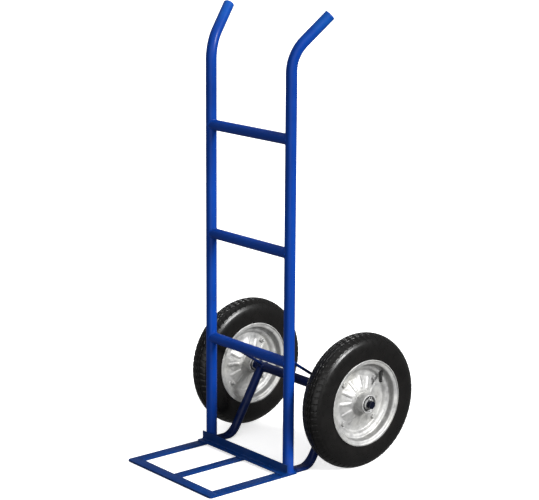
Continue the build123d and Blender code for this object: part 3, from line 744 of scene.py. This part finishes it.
def tyre_section():
    """Outer outline from the inner bead over the crown to the outer bead, then back inside the rim."""
    half = [(25.6, 103.9), (26.6, 107.5), (28.2, 111.5), (30.6, 114.2), (31.7, 116.6), (31.6, 118.8)]
    half += [(32.2, 123.0), (33.1, 131.0), (33.45, 139.0), (33.1, 146.0), (32.1, 152.5), (30.6, 158.0)]
    side = smooth_line(half, 4)
    crown = smooth_line([half[-1]] + CROWN, 9)
    outer = np.vstack([side[:-1], crown])
    mirrored = outer[::-1][1:] * np.array([-1.0, 1.0])
    inside = [(-22.0, 104.0), (-24.0, 130.0), (-18.0, 152.0), (0.0, 163.0), (18.0, 152.0), (24.0, 130.0)]
    inside += [(22.0, 104.0)]
    return np.vstack([outer, mirrored, np.array(inside)]), len(outer) * 2 - 1


def tread_depth(across, turn):
    """Depth of the tread's grooves, in millimetres, at a place across the tyre and around it."""
    phase = turn / (2 * pi) * TREAD_PITCHES
    zigzag = 2.0 * np.abs(phase % 1.0 * 2 - 1) - 1.0
    depth = np.zeros_like(turn)
    for line in GROOVES_AT:
        away = np.abs(across - line - zigzag * 0.9)
        depth = np.maximum(depth, GROOVE_DEPTH * np.clip(1.0 - (away - 0.7) / 0.6, 0, 1))
    lug = np.clip((np.abs(across) - 17.0) / 2.0, 0, 1) * np.clip((31.0 - np.abs(across)) / 2.0, 0, 1)
    shift = 0.25 if across > 0 else 0.75
    slot = np.abs((phase + shift + 0.012 * np.abs(across)) % 1.0 - 0.5)
    gap = np.clip((slot - 0.37) / 0.05, 0, 1)
    sipe = np.clip((slot - 0.465) / 0.02, 0, 1) * np.clip((17.0 - np.abs(across)) / 1.0, 0, 1)
    return np.maximum(np.maximum(depth, LUG_GAP_DEPTH * lug * gap), SIPE_DEPTH * sipe)


def make_tyre(name, side):
    lo, hi = (Vector(v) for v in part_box(f"tyre_{name}"))
    section, outer_count = tyre_section()

    def groove(k, turn):
        if k >= outer_count or section[k, 1] < 152:
            return 0.0, 0.0
        arc = section[k, 0] * (1.0 + 0.10 * max(0.0, (178 - section[k, 1]) / 10))
        depth = tread_depth(arc, turn) * MM
        inward = np.array([section[k, 0] * 0.55, section[k, 1] - 140.0])
        inward /= np.linalg.norm(inward)
        return -depth * inward[0], -depth * inward[1]

    centre = ((lo.x + hi.x) / 2, AXLE_Y, AXLE_Z)
    casing = Shape()
    seg = TREAD_PITCHES * 16
    casing.lathe(section * MM, centre, (side, 0, 0), seg, closed=True, offset=groove, start=(0, 1, 0))
    rubber = MATERIALS["tyre_rubber"]
    casing.make(f"tyre_casing_{name}", f"wheel_{name}", "tyre_rubber", rubber, [f"tyre_{name}"], 50)


# ---------------------------------------------------------------- rims and hubs
RIM_LINE = [(14.0, 24.5), (14.0, 27.5), (13.4, 33.0), (9.0, 44.0), (4.2, 56.0), (1.6, 64.0)]
RIM_LINE += [(1.0, 70.0), (1.0, 79.0), (2.6, 82.5), (6.6, 85.4), (9.0, 88.0), (10.6, 92.0)]
RIM_LINE += [(11.4, 96.0), (14.0, 98.6), (19.0, 99.6), (24.2, 100.6), (27.2, 102.6), (28.2, 106.0)]
RIM_LINE += [(29.0, 109.6), (30.6, 111.8), (32.4, 112.4)]


def rim_section():
    """Section of the pressed sheet, in millimetres, and the radius that each of its points comes from."""
    line = smooth_line(RIM_LINE, 5)
    slope = np.gradient(line, axis=0)
    normal = np.stack([slope[:, 1], -slope[:, 0]], axis=1)
    normal /= np.linalg.norm(normal, axis=1)[:, None]
    face = line + normal * PRESSING_FACE
    back = line - normal * PRESSING_BACK
    return np.vstack([face, back[::-1]]), np.concatenate([line[:, 1], line[::-1, 1]])


def make_rim_half(name, side, which, facing):
    lo, hi = (Vector(v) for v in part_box(f"tyre_{name}"))
    centre = Vector(((lo.x + hi.x) / 2, AXLE_Y, AXLE_Z))
    section, radius = rim_section()

    def emboss(k, turn):
        r = radius[k]
        window = np.clip((r - 34.0) / 4.0, 0, 1) * np.clip((68.0 - r) / 5.0, 0, 1)
        if window <= 0:
            return 0.0, 0.0
        window = window * window * (3 - 2 * window)
        step = 2 * pi / RIM_RIBS
        away = np.abs((turn + step / 2) % step - step / 2) * r
        rib = np.clip(1.0 - (away / RIB_HALF_W) ** 2, 0, 1) ** 0.7
        return RIB_HEIGHT * window * rib, 0.0

    out = side * facing
    half = Shape()
    half.lathe(section * MM, centre, (out, 0, 0), 384, closed=True, offset=emboss, start=(0, 1, 0))
    body, zinc = f"wheel_{name}", MATERIALS["zinc_steel"]
    pressing = f"rim_{which}_pressing_{name}"
    piece = half.make(pressing, body, "zinc_steel", zinc, [f"rim_{which}_half_{name}"])
    punch = Shape()
    for angle in INDEX_HOLES:
        turn = radians(angle)
        at = centre + Vector((out * 2 * MM, INDEX_HOLE_PCR * cos(turn), INDEX_HOLE_PCR * sin(turn)))
        low, high, point = -8 * MM, 14 * MM, 0.01 * MM
        rows = [(low, point), (low, INDEX_HOLE_R), (high, INDEX_HOLE_R), (high, point)]
        punch.lathe(rows, at, (out, 0, 0), seg=28)
    cut(piece, punch)


def cut(piece, punch):
    """Punches closed shapes out of a piece."""
    mesh = bpy.data.meshes.new("punch")
    mesh.from_pydata(punch.verts, [], punch.faces)
    tool = bpy.data.objects.new("punch", mesh)
    scene.collection.objects.link(tool)
    modifier = piece.modifiers.new("holes", "BOOLEAN")
    modifier.operation = "DIFFERENCE"
    modifier.solver = "EXACT"
    modifier.object = tool
    done = bpy.data.meshes.new_from_object(piece.evaluated_get(bpy.context.evaluated_depsgraph_get()))
    piece.modifiers.clear()
    if len(done.polygons) > len(piece.data.polygons) * 0.9:
        old = piece.data
        piece.data = done
        done.set_sharp_from_angle(angle=radians(38))
        bpy.data.meshes.remove(old)
    bpy.data.objects.remove(tool)
    bpy.data.meshes.remove(mesh)


def make_wheel_metal(name, side):
    lo, hi = (Vector(v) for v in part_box(f"tyre_{name}"))
    centre = Vector(((lo.x + hi.x) / 2, AXLE_Y, AXLE_Z))
    body = f"wheel_{name}"
    zinc = MATERIALS["zinc_steel"]
    hub = [(-43, 21.1), (-43, 23.6), (-42.2, 24.5), (-30, 24.5), (-15, 24.5), (0, 24.5), (15, 24.5)]
    hub += [(30, 24.5), (42.2, 24.5), (43, 23.6), (43, 21.6), (42.4, 21.1), (27, 21.1), (27, 19)]
    hub += [(-27, 19), (-27, 21.1)]
    tube = Shape().lathe([(a * MM, r * MM) for a, r in hub], centre, (side, 0, 0), seg=96, closed=True)
    tube.make(f"hub_tube_{name}", body, "zinc_steel", zinc, [f"hub_{name}"])
    seams = Shape()
    for way in (-1, 1):
        at = centre + Vector((way * 15.4 * MM, 0, 0))
        seams.weld(circle(at, (1, 0, 0), 24.9 * MM, 200), 1.9 * MM, closed=True)
    seams.make(f"hub_welds_{name}", body, "zinc_steel", zinc, sharp=80)
    bolts = Shape()
    nuts = Shape()
    for k in range(BOLT_COUNT):
        turn = radians(45 + 360 / BOLT_COUNT * k)
        radial = Vector((0, cos(turn), sin(turn))) * BOLT_PCR
        outward = Vector((side, 0, 0))
        head = centre + radial + outward * 2.0 * MM
        flange = [(0, 0.1 * MM), (0, 7.8 * MM), (1.2 * MM, 7.6 * MM), (1.3 * MM, BOLT_R)]
        bolts.lathe(flange, head, outward, seg=48)
        bolts.hexagon(head + outward * 1.2 * MM, outward, HEX_ACROSS, 4.9 * MM)
        end = centre + radial - outward * 14.0 * MM
        shank = [(0, 0.1 * MM), (0, 3.4 * MM), (0.8 * MM, BOLT_R), (14 * MM, BOLT_R)]
        bolts.lathe(shank, end, outward, seg=36)
        seat = centre + radial - outward * 2.0 * MM
        nuts.hexagon(seat, -outward, HEX_ACROSS, 6.4 * MM, bore=BOLT_R + 0.02 * MM)
    bolts.make(f"hex_bolts_{name}", body, "zinc_steel", zinc, [f"rim_bolts_{name}"])
    nuts.make(f"hex_nuts_{name}", body, "zinc_steel", zinc, [f"rim_nuts_{name}"])


# ---------------------------------------------------------------- stage
FLOOR_HALF = 40.0
FLOOR_DROP = 0.4 * MM
FLOOR_GLOW = 0.62
SKY_STRENGTH = 0.20
CAMERA_AT = (50.03, 13.01)
CAMERA_ROLL = 0.37
CAMERA_DISTANCE = 4.313
CAMERA_LENS = 114.55213
CAMERA_SENSOR = 36.0
CAMERA_TARGET = (0.079, UPRIGHT_Y, 0.572)


def make_floor():
    """Pale floor with a slight glow; it lights nothing and shows in no reflection."""
    floor = Finish("pale_floor", specular=0.1)
    tone = floor.ramp(floor.noise(0.6, 3), [(0.3, (0.93, 0.93, 0.93)), (0.7, (0.95, 0.95, 0.95))])
    floor.paint(tone, floor.span(floor.noise(3, 3), 0.3, 0.7, 0.75, 0.85))
    floor.shader.inputs["Emission Color"].default_value = (1.0, 1.0, 1.0, 1.0)
    floor.shader.inputs["Emission Strength"].default_value = FLOOR_GLOW
    mesh = bpy.data.meshes.new("floor")
    corners = [(-1, -1), (1, -1), (1, 1), (-1, 1)]
    verts = [(x * FLOOR_HALF, y * FLOOR_HALF, -FLOOR_DROP) for x, y in corners]
    mesh.from_pydata(verts, [], [(0, 1, 2, 3)])
    mesh.materials.append(floor.material)
    piece = bpy.data.objects.new("floor", mesh)
    piece.visible_glossy = False
    piece.visible_diffuse = False
    scene.collection.objects.link(piece)


def sun(name, azimuth, elevation, strength, angle, shine=True):
    """Even light from one side; azimuth 0 is in front of the toe frame and 90 is at +X."""
    lamp = bpy.data.lights.new(name, "SUN")
    lamp.energy = strength
    lamp.angle = radians(angle)
    a, e = radians(azimuth), radians(elevation)
    away = Vector((sin(a) * cos(e), -cos(a) * cos(e), sin(e)))
    holder = bpy.data.objects.new(name, lamp)
    holder.location = away * 5
    holder.rotation_euler = (-away).to_track_quat("-Z", "Y").to_euler()
    holder.visible_glossy = shine
    scene.collection.objects.link(holder)


def make_light():
    world = bpy.data.worlds.new("studio")
    world.use_nodes = True
    world.node_tree.nodes["Background"].inputs["Color"].default_value = (1.0, 1.0, 1.0, 1.0)
    world.node_tree.nodes["Background"].inputs["Strength"].default_value = SKY_STRENGTH
    scene.world = world
    sun("sky_panel", azimuth=20, elevation=80, strength=0.5, angle=60)
    sun("key", azimuth=104, elevation=28, strength=4.8, angle=17)
    sun("fill", azimuth=44, elevation=12, strength=1.3, angle=60)
    sun("back_fill", azimuth=262, elevation=24, strength=1.4, angle=50, shine=False)
    scene.view_settings.view_transform = "Standard"
    scene.view_settings.look = "None"


def make_camera():
    azimuth, elevation = (radians(angle) for angle in CAMERA_AT)
    roll = radians(CAMERA_ROLL)
    right = Vector((cos(azimuth), sin(azimuth), 0))
    back = Vector((sin(azimuth) * cos(elevation), -cos(azimuth) * cos(elevation), sin(elevation)))
    up = back.cross(right)
    tilted_right = right * cos(roll) + up * sin(roll)
    tilted_up = up * cos(roll) - right * sin(roll)
    camera = bpy.data.cameras.new("camera")
    camera.sensor_width = CAMERA_SENSOR
    camera.sensor_fit = "HORIZONTAL"
    camera.lens = CAMERA_LENS
    camera.clip_end = 300.0
    holder = bpy.data.objects.new("camera", camera)
    turn = Matrix((tilted_right, tilted_up, back)).transposed().to_4x4()
    place = Vector(CAMERA_TARGET) + back * CAMERA_DISTANCE
    holder.matrix_world = Matrix.Translation(place) @ turn
    scene.collection.objects.link(holder)
    scene.camera = holder


make_uprights()
make_crossbars()
make_toe_frame()
make_stays()
make_axle()
make_welds()
for wheel_name, wheel_side in SIDES.items():
    make_tyre(wheel_name, wheel_side)
    make_rim_half(wheel_name, wheel_side, "outer", 1)
    make_rim_half(wheel_name, wheel_side, "inner", -1)
    make_wheel_metal(wheel_name, wheel_side)
make_floor()
make_light()
make_camera()
